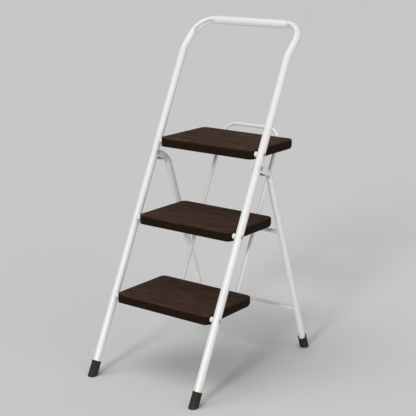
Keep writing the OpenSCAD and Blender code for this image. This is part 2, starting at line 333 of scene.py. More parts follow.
class Shader:
    """A material's nodes, added one line at a time."""

    def __init__(self, name, **values):
        self.material = bpy.data.materials.new(name)
        self.material.use_nodes = True
        self.tree = self.material.node_tree
        self.surface = self.tree.nodes["Principled BSDF"]
        for key, value in values.items():
            self.surface.inputs[key.replace("_", " ")].default_value = value

    def add(self, kind, inputs, **settings):
        """A node of a kind, with its settings and its inputs' values or links."""
        made = self.tree.nodes.new("ShaderNode" + kind)
        for key, value in settings.items():
            setattr(made, key, value)
        for key, value in inputs.items():
            if isinstance(value, bpy.types.NodeSocket):
                self.tree.links.new(value, made.inputs[key])
            else:
                made.inputs[key].default_value = value
        return made

    def place(self, scale):
        """The piece's own coordinates in metres, times one scale or a scale on each axis."""
        where = self.add("TexCoord", {}).outputs["Object"]
        scales = scale if isinstance(scale, tuple) else (scale, scale, scale)
        return self.add("Mapping", {"Vector": where, "Scale": scales}).outputs[0]

    def up(self, vector):
        return self.add("SeparateXYZ", {"Vector": vector}).outputs["Z"]

    def grain(self, scale, detail=4.0, rough=0.5, warp=0.0):
        """Noise from 0 to 1 that changes over 1 / scale metres on each axis."""
        inputs = {"Vector": self.place(scale), "Scale": 1.0, "Detail": detail, "Roughness": rough}
        return self.add("TexNoise", {**inputs, "Distortion": warp}).outputs["Fac"]

    def span(self, value, low, high, to_low=0.0, to_high=1.0):
        inputs = {"Value": value, "From Min": low, "From Max": high, "To Min": to_low, "To Max": to_high}
        return self.add("MapRange", inputs).outputs[0]

    def math(self, kind, a, b=0.0):
        return self.add("Math", {0: a, 1: b}, operation=kind).outputs[0]

    def mix(self, share, a, b):
        a, b = [c if isinstance(c, bpy.types.NodeSocket) else (*c, 1) for c in (a, b)]
        return self.add("Mix", {"Factor": share, 6: a, 7: b}, data_type="RGBA").outputs[2]

    def bump(self, height, depth, strength=1.0, under=None):
        inputs = {"Height": height, "Distance": depth, "Strength": strength}
        if under:
            inputs["Normal"] = under
        return self.add("Bump", inputs).outputs[0]

    def finish(self, color, roughness, normal):
        for key, value in (("Base Color", color), ("Roughness", roughness), ("Normal", normal)):
            self.tree.links.new(value, self.surface.inputs[key])
        return self.material


def white_paint(name, color, shade, rough, depth):
    """Smooth white coat: faint colour drift, orange peel, and a few rubbed marks along the tube."""
    s = Shader(name, IOR=1.5)
    drift = s.span(s.grain((9, 9, 6), 3), 0.35, 0.65)
    rubbed = s.span(s.grain((90, 90, 22), 6, 0.62, 0.6), 0.60, 0.74)
    low_down = s.span(s.up(s.place(1)), 0.04, 0.5, 1, 0.25)
    marks = s.math("MULTIPLY", rubbed, low_down)
    clean = s.mix(drift, color, shade)
    tone = s.mix(s.math("MULTIPLY", marks, 0.30), clean, (0.42, 0.40, 0.36))
    uneven = s.span(s.grain(40, 4), 0.3, 0.7, rough - 0.05, rough + 0.06)
    roughness = s.math("ADD", uneven, s.math("MULTIPLY", marks, 0.2))
    peel = s.bump(s.grain(520, 2), depth, 0.35)
    return s.finish(tone, roughness, peel)


def wood_moulding():
    """Dark brown moulding. The top has a wood grain along X, with streaks, a flame figure and pores, and
    the sides are plain, with a darker tone that is painted shade. The wear attribute lightens the edges."""
    s = Shader("tread_wood_grain", IOR=1.46, Specular_IOR_Level=0.05)
    figure = s.grain((2.2, 16, 16), 3, 0.5, 0.8)
    rings = s.math("FRACT", s.math("MULTIPLY", figure, 11.0))
    bands = s.span(s.math("ABSOLUTE", s.math("SUBTRACT", rings, 0.5)), 0.05, 0.5)
    streaks = s.span(s.grain((7, 230, 230), 6, 0.6), 0.34, 0.68)
    pores = s.span(s.grain((45, 900, 900), 3, 0.5), 0.56, 0.72)
    base = s.mix(bands, (0.058, 0.0315, 0.0205), (0.094, 0.0555, 0.0380))
    toned = s.mix(s.math("MULTIPLY", streaks, 0.75), base, (0.028, 0.0136, 0.0088))
    grained = s.mix(s.math("MULTIPLY", pores, 0.6), toned, (0.010, 0.005, 0.0035))
    # Faces that don't point up get a plain brown without grain, darkened as painted shade; the mask picks it
    # by which way each face points.
    on_top = s.span(s.up(s.add("TexCoord", {}).outputs["Normal"]), 0.25, 0.85)
    plain_side_painted_shade = s.mix(s.grain(60, 5), (0.011, 0.0056, 0.0034), (0.019, 0.0104, 0.0068))
    color = s.mix(on_top, plain_side_painted_shade, grained)
    wear = s.add("Attribute", {}, attribute_name="wear").outputs["Fac"]
    worn = s.math("MULTIPLY", wear, s.span(s.grain((60, 160, 160), 5, 0.6), 0.42, 0.62))
    color = s.mix(s.math("MULTIPLY", worn, 0.4), color, (0.080, 0.046, 0.032))
    satin = s.span(streaks, 0, 1, 0.52, 0.68)
    roughness = s.math("SUBTRACT", satin, s.math("MULTIPLY", wear, 0.10))
    cut = s.bump(streaks, 0.35 * MM, 0.55)
    return s.finish(color, roughness, s.bump(pores, 0.25 * MM, -0.5, cut))


def brown_sheet():
    """Dark brown paint on sheet steel, with faint scratches."""
    s = Shader("brown_sheet_steel", IOR=1.5, Specular_IOR_Level=0.3)
    drift = s.span(s.grain(14, 4), 0.35, 0.65)
    scratch = s.span(s.grain((30, 700, 700), 4, 0.6, 0.3), 0.64, 0.74)
    tone = s.mix(drift, (0.030, 0.019, 0.015), (0.046, 0.030, 0.024))
    color = s.mix(s.math("MULTIPLY", scratch, 0.4), tone, (0.16, 0.13, 0.11))
    roughness = s.span(s.grain(80, 5), 0.3, 0.7, 0.32, 0.50)
    return s.finish(color, roughness, s.bump(s.grain(400, 3), 0.05 * MM, 0.5))


def zinc():
    """Zinc plate: a soft spangle in its tone, and fine brushing."""
    s = Shader("zinc_plate", Metallic=1.0)
    spangle = s.add("TexVoronoi", {"Vector": s.place(600), "Scale": 1.0}).outputs["Color"]
    tone = s.span(spangle, 0.2, 0.8)
    color = s.mix(tone, (0.42, 0.43, 0.44), (0.60, 0.60, 0.59))
    roughness = s.span(s.grain(900, 4), 0.3, 0.7, 0.30, 0.48)
    return s.finish(color, roughness, s.bump(s.grain(1500, 2), 0.03 * MM, 0.5))


def rubber():
    """Dark brown rubber, dull, with scuffs that go up from the floor."""
    s = Shader("foot_rubber", IOR=1.48, Specular_IOR_Level=0.2)
    near_floor = s.span(s.up(s.place(1)), 0.0, 0.018, 1, 0)
    drift = s.span(s.grain(60, 5, 0.6), 0.3, 0.7)
    scuffs = s.span(s.grain((240, 240, 420), 5, 0.65), 0.50, 0.66)
    tone = s.mix(drift, (0.020, 0.012, 0.009), (0.036, 0.023, 0.018))
    dusty = s.math("MULTIPLY", scuffs, s.math("ADD", s.math("MULTIPLY", near_floor, 0.5), 0.12))
    color = s.mix(dusty, tone, (0.15, 0.13, 0.115))
    roughness = s.span(s.grain(300, 4), 0.3, 0.7, 0.50, 0.72)
    return s.finish(color, roughness, s.bump(s.grain(1200, 3), 0.08 * MM, 0.6))


PAINT = white_paint("white_paint", (0.835, 0.835, 0.812), (0.81, 0.81, 0.787), 0.30, 0.05 * MM)
GRIP = white_paint("grip_sleeve", (0.835, 0.835, 0.811), (0.81, 0.81, 0.786), 0.30, 0.07 * MM)
PLASTIC = white_paint("white_bush", (0.84, 0.84, 0.82), (0.80, 0.80, 0.78), 0.42, 0.05 * MM)
WOOD = wood_moulding()
SHEET = brown_sheet()
ZINC = zinc()
RUBBER = rubber()


# ---- front frame

SEAT_DEPTH = 1.4 * MM
SEAT_R = 7 * MM
SEAT_EDGE = 4.5 * MM
PIVOT_STATIONS = [in_front(p).z for p in STEPS.values()]

bow_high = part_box("handle_bow")[1]
TOP_BAR = in_front(Vector((0, bow_high.y - LEG_R, bow_high.z - LEG_R)))
BEND_Z = TOP_BAR.z - TOP_BAR.y / math.tan(HANDLE_BEND)
BEND_R = 80 * MM
CORNER_R = 66 * MM
HANDLE_DENT = 7 * MM


def front_tube():
    """Both front legs and the handle bow: one bent tube, pressed flat under each rivet's outer head."""
    foot, bend = Vector((LEG_X, 0, LEG_START)), Vector((LEG_X, 0, BEND_Z))
    corner = Vector((LEG_X, TOP_BAR.y, TOP_BAR.z))
    leg = []
    reach = SEAT_R + SEAT_EDGE
    here = foot
    for station in PIVOT_STATIONS:
        seat_from, seat_to = Vector((LEG_X, 0, station - reach)), Vector((LEG_X, 0, station + reach))
        leg += spaced(here, seat_from, 30 * MM) + spaced(seat_from, seat_to, 1 * MM)
        here = seat_to
    before_bend = bend - Z * (BEND_R * math.tan(HANDLE_BEND / 2) + 1 * MM)
    leg += spaced(here, before_bend, 30 * MM)
    half = leg + [bend, corner]
    radii = [0] * len(leg) + [BEND_R, CORNER_R]
    corners = half + flipped(half[::-1])
    path = fillet(corners, radii + radii[::-1], turn=3)
    points, faces = tube(path, LEG_R, LEG_R - TUBE_WALL, sides=96)
    shape = [press_seat(p) for p in points], faces
    for i in (len(leg) + 1, len(leg) + 2):
        corner_bend = bend_at(*corners[i - 1 : i + 2], CORNER_R)
        shape = press_bend(shape, corner_bend, CORNER_R, LEG_R, HANDLE_DENT)
    return [shape]


def press_seat(point):
    """Limits how far out a point of the leg stands, near a rivet."""
    flat = LEG_X + LEG_R - SEAT_DEPTH
    for station in PIVOT_STATIONS:
        away = math.hypot(point.y, point.z - station)
        if away < SEAT_R + SEAT_EDGE:
            limit = flat + SEAT_DEPTH * ease((away - SEAT_R) / SEAT_EDGE)
            if abs(point.x) > limit:
                return Vector((math.copysign(limit, point.x), point.y, point.z))
    return point


def grip_sleeve():
    """The thin sleeve over the straight top bar, shrunk down to the tube at both ends."""
    low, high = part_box("handle_grip")
    outer, inner = (high.z - low.z) / 2, LEG_R + 0.02 * MM
    lips = [(0, -1.3), (0.4, -1.15), (3, -0.85), (6, -0.5), (9, -0.2), (12, -0.05), (14, 0)]
    straight_from = 16 * MM
    middle = spaced(X * (low.x + straight_from), X * (high.x - straight_from), 12 * MM)
    path = [X * (low.x + along * MM) for along, lift in lips] + middle
    path += [X * (high.x - along * MM) for along, lift in lips[::-1]]
    radii = [outer + lift * MM for along, lift in lips]
    radii += [outer] * len(middle) + radii[::-1]
    shape = tube(path, radii, inner, sides=96, side=Z)
    return [moved(shape, Matrix.Translation((0, TOP_BAR.y, TOP_BAR.z)))]


def cap_shape(leg_r, at, rim, slant, sides=72):
    """A foot cap in the leg's axes: rolled rim, soft body, and a ribbed sole cut level with the floor.
    slant lowers the rim's front side."""
    ways = circle_at(Vector(), -Y, X, 1, sides)
    to_leg = at.inverted()
    floor_up = to_leg.to_3x3() @ Z
    floor_at = to_leg.translation

    def above_floor(way, r, lift):
        """The height along the leg at which a point stands a lift above the floor."""
        return (lift - floor_up.dot(way * r - floor_at)) / floor_up.z

    def rim_ring(r, below):
        ring = []
        for way in ways:
            front_share = (1 - way.y) / 2
            ring.append(way * r + Z * (rim - below - slant * front_share))
        return ring

    bore = leg_r + 0.1 * MM
    rings = [[way * bore + Z * LEG_START for way in ways]]
    rings += [rim_ring(bore, 1.2 * MM), rim_ring(bore + 0.4 * MM, 0.2 * MM)]
    rolled = [(1.4, 0), (0.4, 0.6), (0, 1.8), (0, 3.6), (0.5, 4.6), (0.7, 6.5)]
    rings += [rim_ring(FOOT_R - into * MM, below * MM) for into, below in rolled]
    top = rings[-1]
    sole = 3.4 * MM
    for k in range(1, 7):
        r = FOOT_R - 0.7 * MM * (1 - k / 6)
        ring = []
        for way, high in zip(ways, top):
            low = above_floor(way, FOOT_R, sole)
            ring.append(way * r + Z * (high.z + (low - high.z) * k / 6))
        rings.append(ring)
    edge = [(0, 2.4), (0.15, 1.5), (0.7, 0.6), (1.7, 0)]
    sole_line = [(FOOT_R - into * MM, lift) for into, lift in edge]
    pitch = 2.9 * MM
    r = FOOT_R - 1.7 * MM
    while r > pitch + 1.2 * MM:
        sole_line += [(r - 1.3 * MM, 0), (r - 1.5 * MM, 1.1), (r - 2.6 * MM, 1.1), (r - pitch, 0)]
        r -= pitch
    sole_line.append((0, 0))
    for r, lift in sole_line:
        rings.append([way * r + Z * above_floor(way, r, lift * MM) for way in ways])
    points, faces = skin(rings)
    faces.append(tuple(range(sides)))
    return points, faces


def rivet_shape(shank_r, length, head_r, head_h):
    """A rivet along Z from z = 0, with domed heads past both ends and a set mark on the second one."""
    dome = [(head_r * math.cos(a), head_h * math.sin(a)) for a in [math.pi / 2 * k / 8 for k in range(9)]]
    start = [(r, -h) for r, h in dome[::-1]]
    mark = [(head_r * r, length + head_h * h) for r, h in ((0.42, 0.90), (0.34, 0.74), (0, 0.70))]
    end = [(r, length + h) for r, h in dome if r > head_r * 0.45]
    return turned(start + [(shank_r, 0), (shank_r, length)] + end + mark, 40)


def step_rivets():
    shank_from = TREAD_X - 6.3 * MM
    length = LEG_X + LEG_R - SEAT_DEPTH - shank_from
    shape = rivet_shape(3 * MM, length, 6 * MM, 2.6 * MM)
    return both_sides([moved(shape, on_x(shank_from, z=s)) for s in PIVOT_STATIONS])


def through_rivets(node, tube_x, shank_r, head_r, head_h, places):
    """Rivets along X through the tubes at tube_x and -tube_x, at each (y, z) place."""
    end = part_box(node)[1].x - head_h
    start = 2 * tube_x - end
    shape = rivet_shape(shank_r, end - start, head_r, head_h)
    return both_sides([moved(shape, on_x(start, y, z)) for y, z in places])


def rear_pivot_rivets():
    place = (0, in_front(REAR_PIVOT).z)
    return through_rivets("rear_pivot_rivets", LEG_X, 4 * MM, 7 * MM, 2.2 * MM, [place])


def step_bushes():
    """White spacers: a flange against the tread, a barrel, and an end that fits the leg's round."""
    radius = 9 * MM
    start = TREAD_X + 0.3 * MM

    def ring(r, x):
        return circle_at(X * x, Y, Z, r, 48)

    def saddle(r, lift):
        points = ring(r, 0)
        for p in points:
            p.x = LEG_X - math.sqrt((LEG_R + lift) ** 2 - p.y * p.y)
        return points

    bore = 3.05 * MM
    rings = [saddle(bore, 0.05 * MM), ring(bore, start + 0.4 * MM), ring(bore + 0.4 * MM, start)]
    flange = [(0.7, 0), (0.2, 0.2), (0, 0.7), (0, 2.2), (0.25, 2.6), (1.2, 3.1)]
    rings += [ring(radius - into * MM, start + out * MM) for into, out in flange]
    leg_end = [(1.2, 1.2), (0.6, 0.3), (0.5, 0.05)]
    rings += [saddle(radius - into * MM, lift * MM) for into, lift in leg_end]
    shape = skin(rings, along=True)
    return both_sides([moved(shape, Matrix.Translation((0, 0, s))) for s in PIVOT_STATIONS])


front_nodes = ["front_leg_left", "front_leg_right", "handle_bow"]
piece("front_tube", front_tube(), FRONT, PAINT, front_nodes)
piece("handle_sleeve", grip_sleeve(), FRONT, GRIP, ["handle_grip"])
piece("step_rivets", step_rivets(), FRONT, ZINC, ["step_pivot_rivets"])
piece("rear_frame_rivets", rear_pivot_rivets(), FRONT, ZINC, ["rear_pivot_rivets"])
piece("step_spacers", step_bushes(), FRONT, PLASTIC, ["step_bushes"])

FOOT_LEN = 50 * MM
REAR_RIM_SLANT = 8 * MM
for side, x in (("left", -LEG_X), ("right", LEG_X)):
    for end, legs, leg_r, slant in (("front", FRONT, LEG_R, 0), ("rear", REAR, REAR_R, REAR_RIM_SLANT)):
        at = legs @ Matrix.Translation((x, 0, 0))
        cap = cap_shape(leg_r, at, FOOT_LEN, slant)
        piece(f"{end}_cap_{side}", [cap], at, RUBBER, [f"{end}_foot_{side}"], sharp=50)


# ---- steps

TREAD_CORNER = 20 * MM
TREAD_STRAIGHT = TREAD_X - TREAD_CORNER
TOP_EDGE = 5 * MM
SKIRT = 3.5 * MM
REAR_RIM = 15.5 * MM
TREAD_TOP_T = 4.5 * MM
TOP_GRAIN = 0.45 * MM
SIDE_GRAIN = 0.3 * MM


def grain_depth(x, y, seed):
    """From 0 to 1: how deep the moulded wood grain is cut at a place on the tread."""
    drift = 11 * MM * noise.noise(Vector((x * 4, y * 9, seed)))
    drift += 2 * MM * noise.noise(Vector((x * 14, y * 40, seed + 3)))
    line = (y + drift) / (4.2 * MM)
    row = math.floor(line)
    cut = max(0, 1 - abs(line - row - 0.5) / 0.26)
    length = noise.noise(Vector((x * 9, row * 3.7, seed + 7))) + 0.15
    return cut * clamped(length * 4)


def tread_columns():
    """Places across the tread, closer together towards its ends."""
    ends = [0, 0.12, 0.5, 1.1, 1.9, 2.9, 4.0, 5.2, 6.8, 8.6, 10.6, 13, 15.6, 18, 20]
    inner = TREAD_X - ends[-1] * MM
    count = round(2 * inner / (4 * MM))
    middle = [-inner + 2 * inner * k / count for k in range(1, count)]
    return [-TREAD_X + e * MM for e in ends] + middle + [TREAD_X - e * MM for e in ends[::-1]]


def tread_rows(depth):
    """Distances from the tread's front edge to its rear edge."""
    ends = [0, 0.12, 0.5, 1.1, 1.9, 2.9, 4.0, 5.2]
    inner = depth - 2 * ends[-1] * MM
    count = round(inner / (0.8 * MM))
    middle = [ends[-1] * MM + inner * k / count for k in range(1, count)]
    return [e * MM for e in ends] + middle + [depth - e * MM for e in ends[::-1]]


def from_outline(x, y, low, high):
    """Distance from the tread's outline, inwards."""
    over_x = abs(x) - TREAD_STRAIGHT
    over_y = abs(y - (low.y + high.y) / 2) - ((high.y - low.y) / 2 - TREAD_CORNER)
    if over_x > 0 and over_y > 0:
        return TREAD_CORNER - math.hypot(over_x, over_y)
    return TREAD_CORNER - max(over_x, over_y)


def tread_top(low, high, seed):
    """The grained top with its rounded edge, as columns of points, and how worn each point is."""
    depth = high.y - low.y
    rows = tread_rows(depth)
    grid, wear = [], []
    for x in tread_columns():
        corner = max(0, abs(x) - TREAD_STRAIGHT)
        inset = TREAD_CORNER - math.sqrt(max(0, TREAD_CORNER**2 - corner**2))
        line = []
        for row in rows:
            y = low.y + inset + row * (depth - 2 * inset) / depth
            inward = max(0, from_outline(x, y, low, high))
            short = max(0, TOP_EDGE - inward)
            drop = TOP_EDGE - math.sqrt(max(0, TOP_EDGE**2 - short**2))
            fade = clamped((inward - 3 * MM) / (5 * MM))
            cut = TOP_GRAIN * fade * grain_depth(x, y, seed)
            line.append(Vector((x, y, high.z - drop - cut)))
            wear.append(clamped(1 - abs(inward - 1.8 * MM) / (3.5 * MM)))
        grid.append(line)
    return grid, wear


def pocket_point(p, low, high):
    """The place on the pocket's outline that is opposite a point of the tread's outline."""
    half, corner = TREAD_X - SKIRT, TREAD_CORNER - SKIRT
    front, rear = low.y + SKIRT, high.y - REAR_RIM
    ahead = p.y < (low.y + high.y) / 2
    share = (abs(p.x) - TREAD_STRAIGHT) / TREAD_CORNER
    if abs(p.x) > TREAD_X - 1e-7:
        ends = low.y + TREAD_CORNER, high.y - TREAD_CORNER
        along = (p.y - ends[0]) / (ends[1] - ends[0])
        y = front + corner + along * (rear - front - 2 * corner)
        return Vector((math.copysign(half, p.x), y, 0))
    if share <= 0:
        x = p.x * (half - corner) / TREAD_STRAIGHT
        return Vector((x, front if ahead else rear, 0))
    x = half - corner + corner * share
    rise = corner * (1 - math.sqrt(max(0, 1 - share * share)))
    return Vector((math.copysign(x, p.x), front + rise if ahead else rear - rise, 0))


def skirt_rings(edge, inner, low, high, seed):
    """Rings of points down the tread's grained sides, around its lower edge and up its pocket."""
    inward = [q - Vector((p.x, p.y, 0)) for p, q in zip(edge, inner)]
    lower_r = [min(12 * MM, 0.8 * v.length) for v in inward]
    levels, turns = 16, 7
    rings = []
    for k in range(1, levels + 1):
        ring = []
        for p, v, r in zip(edge, inward, lower_r):
            z = p.z + (low.z + r - p.z) * k / levels
            cut = SIDE_GRAIN * grain_depth(p.x, p.y * 0.3 + z, seed + 20) * math.sin(math.pi * k / levels)
            ring.append(Vector((p.x, p.y, z)) + v.normalized() * cut)
        rings.append(ring)
    for k in range(1, turns + 1):
        turn = math.pi / 2 * k / turns
        ring = []
        for p, v, r in zip(edge, inward, lower_r):
            in_by = v.normalized() * r * (1 - math.cos(turn))
            ring.append(Vector((p.x, p.y, low.z + r * (1 - math.sin(turn)))) + in_by)
        rings.append(ring)
    pocket_top = high.z - TREAD_TOP_T
    for z in (low.z, low.z + 0.6 * MM, (low.z + pocket_top) / 2, pocket_top):
        rings.append([Vector((q.x, q.y, z)) for q in inner])
    return rings


def tread_shape(low, high, seed):
    """The moulded tread: grained top, rounded edges all round, and the pocket under it."""
    grid, wear = tread_top(low, high, seed)
    points, faces = skin(grid, around=False)
    size, last = len(grid[0]), len(grid) - 1
    loop = [i * size for i in range(last + 1)]
    loop += [last * size + j for j in range(1, size)]
    loop += [i * size + size - 1 for i in range(last - 1, -1, -1)]
    loop += list(range(size - 2, 0, -1))
    edge = [points[i] for i in loop]
    inner = [pocket_point(p, low, high) for p in edge]
    count = len(loop)
    previous, side_wear = loop, 0.35
    for ring in skirt_rings(edge, inner, low, high, seed):
        current = list(range(len(points), len(points) + count))
        for j in range(count):
            k = (j + 1) % count
            faces.append((previous[j], previous[k], current[k], current[j]))
        previous = current
        points = points + ring
        wear += [side_wear] * count
        side_wear = 0
    faces.append(tuple(previous))
    return (points, faces), wear


def tread(name, seed):
    """A tread with four ribs in its pocket, and its wear stored for the material."""
    node, pivot = f"tread_{name}", STEPS[name]
    low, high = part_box(node)
    shape, wear = tread_shape(low, high, seed)
    rib_top = high.z - TREAD_TOP_T + 0.3 * MM
    thin, thick = 1.25 * MM, 1.6 * MM
    ribs = []
    for y in [pivot.y + back * MM for back in (50, 85, 120, 155)]:
        outline = [(y - thin, pivot.z), (y + thin, pivot.z), (y + thick, rib_top), (y - thick, rib_top)]
        ribs.append(slab(outline, 2 * (TREAD_X - 8 * MM)))
    made = piece(f"{name}_tread", [shape] + ribs, WORLD, WOOD, [node], sharp=38)
    attribute = made.data.attributes.new("wear", "FLOAT", "POINT")
    values = {tuple(round(c, 6) for c in p): w for p, w in zip(shape[0], wear)}
    for i, vertex in enumerate(made.data.vertices):
        attribute.data[i].value = values.get(tuple(round(c, 6) for c in vertex.co), 0)


for seed, name in enumerate(STEPS):
    tread(name, seed * 31 + 4)


PAN_T = 1.5 * MM
PAN_FLANGE = 22 * MM
PAN_CORNER = 12 * MM
PAN_BEND = 2.5 * MM


def folded(value, start, end):
    """Where a distance across a flat sheet comes to lie, as (place, height), with both edges bent up."""
    for edge, sign in ((start, -1), (end, 1)):
        past = (value - edge) * sign + PAN_BEND
        if past > 0:
            turn = min(past / PAN_BEND, math.pi / 2)
            climb = max(0, past - PAN_BEND * math.pi / 2)
            return edge + sign * PAN_BEND * (math.sin(turn) - 1), PAN_BEND * (1 - math.cos(turn)) + climb
    return value, 0


def sheet_marks(start, end, pitch):
    """Distances across the flat sheet: up one flange, around its bend, over the floor, and up the other."""
    quarter = PAN_BEND * math.pi / 2
    flange = PAN_FLANGE - PAN_BEND + quarter
    over = [flange, (flange + quarter) / 2] + [quarter * k / 5 for k in (5, 4, 3, 2, 1, 0)]
    stops = [start + PAN_BEND, start + PAN_CORNER, end - PAN_CORNER, end - PAN_BEND]
    count = round((stops[2] - stops[1]) / pitch)
    floor = [stops[1] + (stops[2] - stops[1]) * k / count for k in range(count + 1)]
    near = [stops[0] + (stops[1] - stops[0]) * k / 4 for k in (1, 2, 3)]
    far = [stops[2] + (stops[3] - stops[2]) * k / 4 for k in (1, 2, 3)]
    before = [stops[0] - o for o in over]
    after = [stops[3] + o for o in over[::-1]]
    return before + near + floor + far + after


def pan_shape(low, high):
    """The sheet tray under a tread: bent-up flanges, open corners and two pressed stiffening beads."""
    xs, ys = sheet_marks(low.x, high.x, 4 * MM), sheet_marks(low.y, high.y, 2 * MM)
    beads = [low.y + (high.y - low.y) * share for share in (0.32, 0.62)]
    bead_half, bead_rise, bead_end = 7 * MM, 2.4 * MM, 42 * MM
    points, index = [], {}
    for i, x in enumerate(xs):
        for j, y in enumerate(ys):
            across, up_x = folded(x, low.x, high.x)
            back, up_y = folded(y, low.y, high.y)
            lift = up_x + up_y
            run = ease((high.x - bead_end - abs(x)) / bead_half)
            for bead in beads:
                lift += bead_rise * ease(1 - abs(y - bead) / bead_half) * run
            index[i, j] = len(points)
            points.append(Vector((across, back, low.z + lift)))
    faces = []
    for i in range(len(xs) - 1):
        for j in range(len(ys) - 1):
            x, y = (xs[i] + xs[i + 1]) / 2, (ys[j] + ys[j + 1]) / 2
            past_x = not low.x + PAN_CORNER < x < high.x - PAN_CORNER
            past_y = not low.y + PAN_CORNER < y < high.y - PAN_CORNER
            if not (past_x and past_y):
                faces.append((index[i, j], index[i + 1, j], index[i + 1, j + 1], index[i, j + 1]))
    used = sorted({i for face in faces for i in face})
    order = {old: new for new, old in enumerate(used)}
    return [points[i] for i in used], [tuple(order[i] for i in face) for face in faces]


def touching(centre, radius, point, way):
    """The angle, in degrees, of the place on a circle where a line from a point just touches it."""
    gap = point - centre
    return math.degrees(math.atan2(gap.y, gap.x) + way * math.acos(radius / gap.length))


def bracket_shapes(low, high, pan_low):
    """A clevis under the pan for each link bar: a plate, and an ear on each side of the bar."""
    ear_t, ear_gap, eye_r = 2 * MM, 0.5 * MM, 6.5 * MM
    eye = Vector((high.y - eye_r, low.z + eye_r))
    top, plate_low = pan_low.z, pan_low.z - 2 * MM
    front = Vector((low.y, plate_low - 1.5 * MM))
    rear = Vector((high.y - 23 * MM, top))
    start = touching(eye, eye_r, rear, -1)
    end = touching(eye, eye_r, front, 1)
    outline = [(low.y, top), (rear.x, top)]
    outline += arc(eye, eye_r, start, end - 360 if end > start else end, 16)
    outline += [(front.x + 3 * MM, front.y), (front.x, front.y + 2 * MM)]
    ear = slab(outline, ear_t)
    ear_x = LINK_R + ear_gap + ear_t / 2
    ears = [moved(ear, Matrix.Translation((LINK_X + way * ear_x, 0, 0))) for way in (-1, 1)]
    plate = slab([(low.y, top), (rear.x, top), (rear.x, plate_low), (low.y, plate_low)], 2 * ear_x)
    return both_sides(ears + [moved(plate, Matrix.Translation((LINK_X, 0, 0)))])


def screw_shape(head_r, head_h, shank_r, length):
    """A pan-head screw along Z, its head down, with a cross recess."""
    sides, recess, arm = 48, 1.0 * MM, 0.42 * MM
    rings = []
    steps = [0, 0.2, 0.45, 0.7, 1.0, 1.3, 1.6, 1.85, 2.1, 2.5, 3.0, 3.4, 3.7, 3.9, 4.0]
    for step in steps:
        r = step / steps[-1] * head_r
        ring = []
        for k in range(sides):
            x, y = r * math.cos(2 * math.pi * k / sides), r * math.sin(2 * math.pi * k / sides)
            slot = max(0, 1 - max(0, min(abs(x), abs(y)) - arm) / (0.2 * MM))
            inside = clamped((2.0 * MM - r) / (0.3 * MM))
            crown = head_h * math.sqrt(max(0, 1 - (r / head_r) ** 4))
            ring.append(Vector((x, y, -crown + recess * slot * inside)))
        rings.append(ring)
    for r, z in ((head_r, 0.2 * MM), (shank_r, 0.2 * MM), (shank_r, length - 1 * MM), (0.2 * MM, length)):
        rings.append(level_circle(r, z, sides))
    points, faces = skin(rings)
    return points, faces + [tuple(range(len(points) - sides, len(points)))]


def step_hardware(name):
    """The pan, brackets and screws under one tread."""
    low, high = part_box(f"step_pan_{name}")
    pan = piece(f"{name}_pan", [pan_shape(low, high)], WORLD, SHEET, [f"step_pan_{name}"])
    sheet_metal(pan, PAN_T, -1, 0.3 * MM)
    node = f"step_brackets_{name}"
    brackets = bracket_shapes(*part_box(node), low)
    piece(f"{name}_brackets", brackets, WORLD, SHEET, [node], bevel=0.35 * MM)
    screw_low, screw_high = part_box(f"step_screws_{name}")
    head_r, head_h = 4 * MM, 1.7 * MM
    screws = []
    for i, x in enumerate((screw_low.x + head_r, 0, screw_high.x - head_r)):
        for j, y in enumerate((screw_low.y + head_r, screw_high.y - head_r)):
            turn = Matrix.Rotation(0.7 * i + 1.1 * j, 4, "Z")
            at = Matrix.Translation((x, y, screw_low.z + head_h)) @ turn
            screws.append(moved(screw_shape(head_r, head_h, 1.8 * MM, 13 * MM), at))
    piece(f"{name}_screws", screws, WORLD, ZINC, [f"step_screws_{name}"], sharp=35)


for name in STEPS:
    step_hardware(name)


# ---- link frame

LINK_STATIONS = [in_front(p + LINK_PIVOT) for p in STEPS.values()]
LINK_Y = LINK_STATIONS[0].y
LINK_END = 14 * MM
LOOP_R = 50 * MM
loop_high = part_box("pull_loop")[1]
LOOP_TOP = in_front(Vector((0, loop_high.y - LINK_R, loop_high.z - LINK_R)))


def link_tube():
    """Both link bars and the pull loop: one bent tube behind the steps."""
    start = Vector((LINK_X, LINK_Y, LINK_STATIONS[0].z - LINK_END))
    corner = Vector((LINK_X, LINK_Y, LOOP_TOP.z))
    half = spaced(start, corner - Z * (LOOP_R + 1 * MM), 30 * MM) + [corner]
    radii = [0] * (len(half) - 1) + [LOOP_R]
    path = fillet(half + flipped(half[::-1]), radii + radii[::-1], turn=3)
    return [tube(path, LINK_R, LINK_R - LINK_WALL, sides=48)]


def link_plugs():
    """Domed end plugs, with a stem in the bar's bore."""
    bore = LINK_R - LINK_WALL
    profile = [(0, -3.0), (2.4, -2.9), (4.4, -2.3), (5.7, -1.3), (6.2, -0.4)]
    line = [(r * MM, z * MM) for r, z in profile] + [(LINK_R, 0), (bore - 0.1 * MM, 0)]
    line += [(bore - 0.1 * MM, 5 * MM), (bore - 0.8 * MM, 6 * MM), (0, 6 * MM)]
    at = Matrix.Translation((LINK_X, LINK_Y, LINK_STATIONS[0].z - LINK_END))
    return both_sides([moved(turned(line, 40), at)])


def link_rivets():
    places = [(LINK_Y, p.z) for p in LINK_STATIONS]
    return through_rivets("link_rivets", LINK_X, 2.5 * MM, 4.5 * MM, 1.6 * MM, places)


